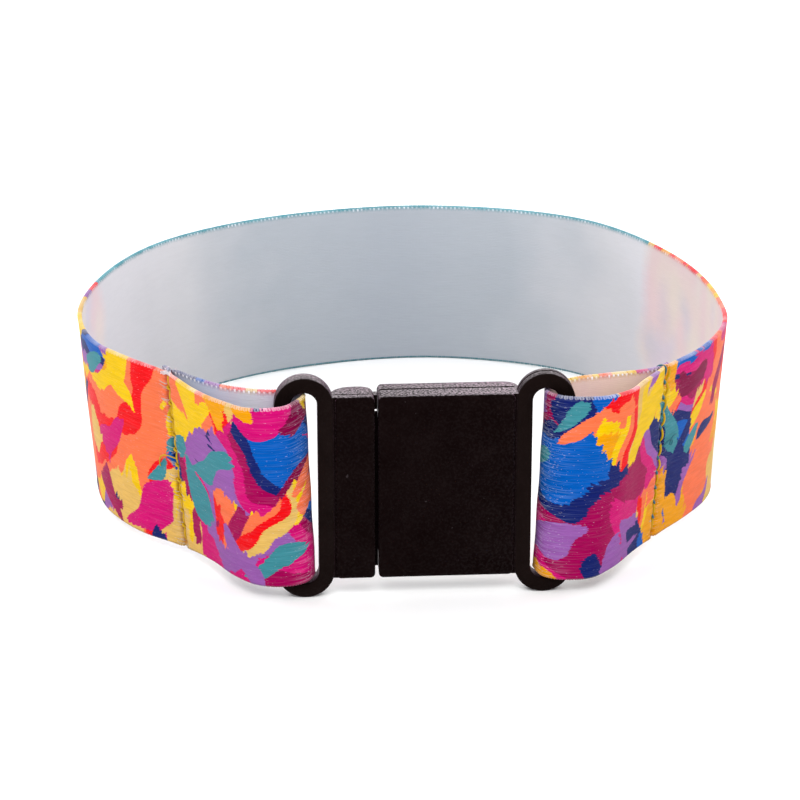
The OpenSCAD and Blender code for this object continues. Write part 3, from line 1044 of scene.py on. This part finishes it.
def satin(shader, place, base, tone_depth, speck_level, sheen_lines, relief_mm):
    base = thread_colour(place, base, tone_depth, speck_level, sheen_lines)
    feed(shader.inputs["Base Color"], base)
    floats = add("TexBrick", place, offset=0.4, offset_frequency=2, squash=1.0).node
    for key, value in FLOATS.items():
        floats.inputs[key].default_value = value
    weave = minus(float_noise(place, 1.2, 0.12, 3), times(floats.outputs["Fac"], 0.35))
    bump(shader, weave, relief_mm, 0.5)
    run = add("Tangent", direction_type="UV_MAP", uv_map="flat")
    feed(shader.inputs["Tangent"], run)


# %% Printed side, with pale threads between the loops of the upper edge
printed, shader = new_material("printed_satin", Roughness=0.4, Anisotropic=0.6, Specular_IOR_Level=0.03,
                                     Specular_Tint=grey(0.4))
place, length, width = flat_place()
design = print_colour(along_threads(place))[0]
between = above(maths("SINE", times(length, math.pi / LOOP_PITCH)), 0.5)
rim = times(maths("COMPARE", width, RIBBON_W - 0.2, 0.06), between)
design = mix(times(rim, 0.3), design, (0.6, 0.55, 0.6, 1))
satin(shader, place, design, tone_depth=0.15, speck_level=0.80, sheen_lines=0.14, relief_mm=0.06)

# %% Plain side: the print shows through, spread softly by the thickness of the cloth
SPREAD = 2.6  # mm
plain, shader = new_material("plain_satin", Roughness=0.6, Anisotropic=0.3, Specular_IOR_Level=0.2)
place, length, width = flat_place()
grains = add("TexWhiteNoise", scaled(place, (97, 97, 97)), noise_dimensions="2D", out="Color")
spread = scaled(back_by(grains, (0.5, 0.5, 0.5)), (SPREAD, SPREAD, 0))
shown, behind = print_colour(moved(place, spread))

# %% Bluish behind the turquoise, rosy elsewhere; the bluish part also carries painted shade
# The ground is darkest round this place: partly the turquoise showing through, partly painted shade.
SHADE_MIDDLE = 127.0  # where the plain side is deepest, in mm along the ribbon
far = over(distance(length, SHADE_MIDDLE), SHADE_MIDDLE)
cloud = minus(clouds(2, place, 0.09, 2.0, 0.5), 0.5)
bluish = ramp(plus(far, times(cloud, 0.1)), [
    (0.0, (0.37, 0.41, 0.46, 1)), (0.12, (0.40, 0.44, 0.485, 1)), (0.24, (0.58, 0.59, 0.62, 1)),
    (0.34, (0.66, 0.66, 0.70, 1)), (0.5, (0.70, 0.69, 0.74, 1))])
# Painted shade: darker towards the lower edge.
shade = grey_ramp(over(width, RIBBON_W), (0.0, 0.8), (1.0, 1))
bluish = mix(1.0, bluish, shade, "MULTIPLY")
rosy = ramp(over(length, RIBBON_L), [
    (0.12, (0.63, 0.69, 0.80, 1)), (0.30, (0.74, 0.71, 0.75, 1)),
    (0.66, (0.65, 0.60, 0.63, 1)), (0.80, (0.67, 0.64, 0.66, 1)), (0.88, (0.80, 0.66, 0.64, 1))])
ground = mix(behind, mix(0.17, rosy, shown), bluish)

# %% A fringe of ink that creeps round the upper edge
FRINGE_LEAST, FRINGE_MOST = 0.3, 0.9  # mm
uneven = times(float_noise(place, 0.22, 5.0, 41), FRINGE_MOST - FRINGE_LEAST)
inward = over(minus(RIBBON_W, width), plus(FRINGE_LEAST, uneven))
fringe = most(minus(1.0, inward), 0.0)
ground = mix(times(fringe, 0.7), ground, print_colour(place)[0])
satin(shader, place, ground, tone_depth=0.03, speck_level=0.95, sheen_lines=0.0, relief_mm=0.03)


# %% Loops and beads of the selvage, where less of the ink holds
def faded(name, near, far, depth=1.0):
    """The print's colour mixed with pale thread: a share near the buckle, and one round the wrist."""
    material, shader = new_material(name, Roughness=0.6, Specular_IOR_Level=0.1)
    place, length, width = flat_place()
    from_middle = over(distance(length, RIBBON_L / 2), RIBBON_L / 2)
    share = grey_ramp(from_middle, (0.45, far), (0.7, near))
    patchy = grey_ramp(clouds(1, length, 0.4, 2.0, 0.6), (0.3, 0.4), (0.65, 1.4))
    ink = mix(times(share, patchy), print_colour(place)[0], (0.86, 0.86, 0.92, 1))
    # depth darkens the whole rim: painted shade, for a rim that lies in shadow.
    feed(shader.inputs["Base Color"], mix(1.0, ink, grey(depth), "MULTIPLY"))
    return material


rim_high = faded("rim_high", 0.27, 0.12)
# The lower rim is darkened to 0.55 as painted shade, for the edge in shadow near the floor.
rim_low = faded("rim_low", 0.1, 0.05, 0.55)
rim_beads = faded("rim_beads", 0.75, 0.5)


# %% [markdown]
# ## Thread and plastic
# Spun thread is matt with a faint twist. The buckle is a near-black plastic from a spark-eroded
# mould: almost no light comes off its front, and a fine grain sparkles on the faces that look up.

# %% Thread
def thread_material(name, code, see_through=0.0):
    material, shader = new_material(name, Roughness=0.6, Specular_IOR_Level=0.2, Alpha=1 - see_through)
    fuzz = clouds(3, add("TexCoord", out="Object"), 9000.0, 2.0, 0.6)
    light = colour(code)
    dark = (*(0.5 * c for c in light[:3]), 1)
    feed(shader.inputs["Base Color"], mix(fuzz, dark, light))
    bump(shader, fuzz, 0.03, 0.6)
    return material


yellow_thread = thread_material("yellow_thread", "CCA200")
teal_thread = thread_material("teal_thread", "2F6F7E")
pale_thread = thread_material("pale_thread", "E6DCE0")
pulled_thread = thread_material("pulled_thread", "E6DCD0", see_through=0.5)

# %% Plastic: where on the buckle, and the grain
# The gloss and the sheen of the shader itself are plain stand-ins for the linked ones.
plastic, shader = new_material(
    "black_plastic", Roughness=0.42, Specular_IOR_Level=0.12, Sheen_Weight=0.05,
    Sheen_Tint=(1, 0.5, 0.78, 1), Specular_Tint=(0.04, 0.03, 0.03, 1))
place = add("TexCoord", out="Object")
from_middle = over(minus(axes(place)[0], buckle_middle.x), MM)
on_ring = above(maths("ABSOLUTE", from_middle), body_end)
grain = clouds(3, place, 4200.0, 1.0, 0.6)
finer = plus(times(minus(grain, 0.5), 0.4), 0.5)
grain = mix(on_ring, grain, finer)
bump(shader, grain, 0.035, 1.0)

# %% Its near-black, with a few specks
cloud = clouds(3, place, 350.0, 3.0, 0.6)
tone = mix(on_ring, ramp(cloud, [(0.3, colour("0B0505")), (0.7, colour("100909"))]),
           ramp(cloud, [(0.3, colour("100A09")), (0.7, colour("150E0D"))]))
specks = above(clouds(3, place, 1900.0, 1.0, 0.5), 0.80)
feed(shader.inputs["Base Color"], mix(times(specks, 0.5), tone, colour("3A3436")))

# %% Its sparkle, and a pale sheen on the faces that look up: partly dust in the grain, partly the gloss where light grazes them
# Place along the buckle in mm from its middle, and how strong the dust and the sheen are there.
# The table is also painted shade and light along the tops: less on the shoulder, the left of the
# block and the right ring, more at the right of the block.
DUST_AND_SHADE_ALONG = ((-9.1, 0.9), (-8.9, 0.85), (-5.5, 0.78), (-4.0, 0.55), (2.0, 0.88), (9.0, 1.35), (9.4, 0.55))
BUCKLE_L = 2 * (body_end + RING_W)
dust_and_shade_share = grey_ramp(plus(over(from_middle, BUCKLE_L), 0.5),
                 *((mm / BUCKLE_L + 0.5, share / 2) for mm, share in DUST_AND_SHADE_ALONG))
dust_and_shade_share = times(dust_and_shade_share, 2.0)
sparkle = grey_ramp(grain, (0.38, 0.01), (0.5, 0.08), (0.64, 0.5))
feed(shader.inputs["Specular IOR Level"], times(sparkle, dust_and_shade_share))
dust_and_sheen = grey_ramp(grain, (0.36, 0.03), (0.5, 0.14), (0.64, 0.42))
grazing = grey_ramp(add("LayerWeight", 0.5, out="Facing"), (0.1, 0), (0.64, 1))
upward = grey_ramp(axes(add("NewGeometry", out="Normal"))[2], (0.0, 0.06), (0.8, 1))
upward = most(upward, times(on_ring, 0.45))
dust_and_sheen = times(times(dust_and_sheen, grazing), upward)
feed(shader.inputs["Sheen Weight"], times(dust_and_sheen, dust_and_shade_share))

# %% Dress the pieces
for piece, two_sides in ((ribbon, (printed, plain)), (selvage_low, (rim_low, rim_low)),
                         (selvage_high, (rim_high, rim_beads))):
    for slot, material in enumerate(two_sides):
        piece.data.materials[slot] = material
for piece in (plug, socket):
    piece.data.materials.append(plastic)
threads = {
    yellow_thread: [seam_threads["left_seam"], seam_threads["right_seam"], left_knots, left_curl],
    teal_thread: [seam_threads["left_tail_seam"], seam_threads["right_tail_seam"], right_knots, right_curl,
                  over_edge],
    pale_thread: [whiskers],
    pulled_thread: [dragged],
}
for material, pieces in threads.items():
    for piece in pieces:
        piece.data.materials.append(material)

# %% [markdown]
# ## Floor and light
# The photograph is lit from all sides on white, and so brightly that the ground is pure white. A
# pale floor, a bright sky and two broad, soft lamps give that: a low one behind, which grazes the
# upper faces of the plastic, and a high one in front for the colours.

# %% Floor
deselect_all()
bpy.ops.mesh.primitive_plane_add(size=6)
floor = bpy.context.object
floor.name = "floor"
floor.data.materials.append(new_material("floor_white", Base_Color=grey(0.97), Roughness=0.9)[0])

# %% Sky and lamps
world = bpy.data.worlds.new("sky")
world.use_nodes = True
sky = world.node_tree.nodes["Background"]
sky.inputs["Color"].default_value, sky.inputs["Strength"].default_value = grey(1), 1.12
bpy.context.scene.world = world


def lamp(name, place, size, power):
    deselect_all()
    bpy.ops.object.light_add(type="AREA", location=place)
    made = bpy.context.object
    made.name = name
    made.data.shape = "RECTANGLE"
    made.data.size, made.data.size_y = size
    made.data.energy = power
    made.rotation_euler = (-Vector(place)).to_track_quat("-Z", "Y").to_euler()


lamp("lamp_back", (-0.05, 0.75, 0.36), (1.1, 0.3), 6.5)
lamp("lamp_front", (-0.08, -0.65, 0.75), (0.6, 0.4), 4.5)
bpy.context.scene.view_settings.view_transform = "Standard"

# %% [markdown]
# ## In place of the plain parts
# The ribbon replaces the plain strap, and the two halves replace the plain buckle. All ride on the
# one body, because a fastened buckle stays as it is and a ribbon has no joint.

# %% Ride and replace
trim = [selvage_low, selvage_high] + sum(threads.values(), [])
for piece in (ribbon, plug, socket, *trim):
    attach(piece, "root")
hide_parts("strap")
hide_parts("buckle_plug")
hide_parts("buckle_socket")
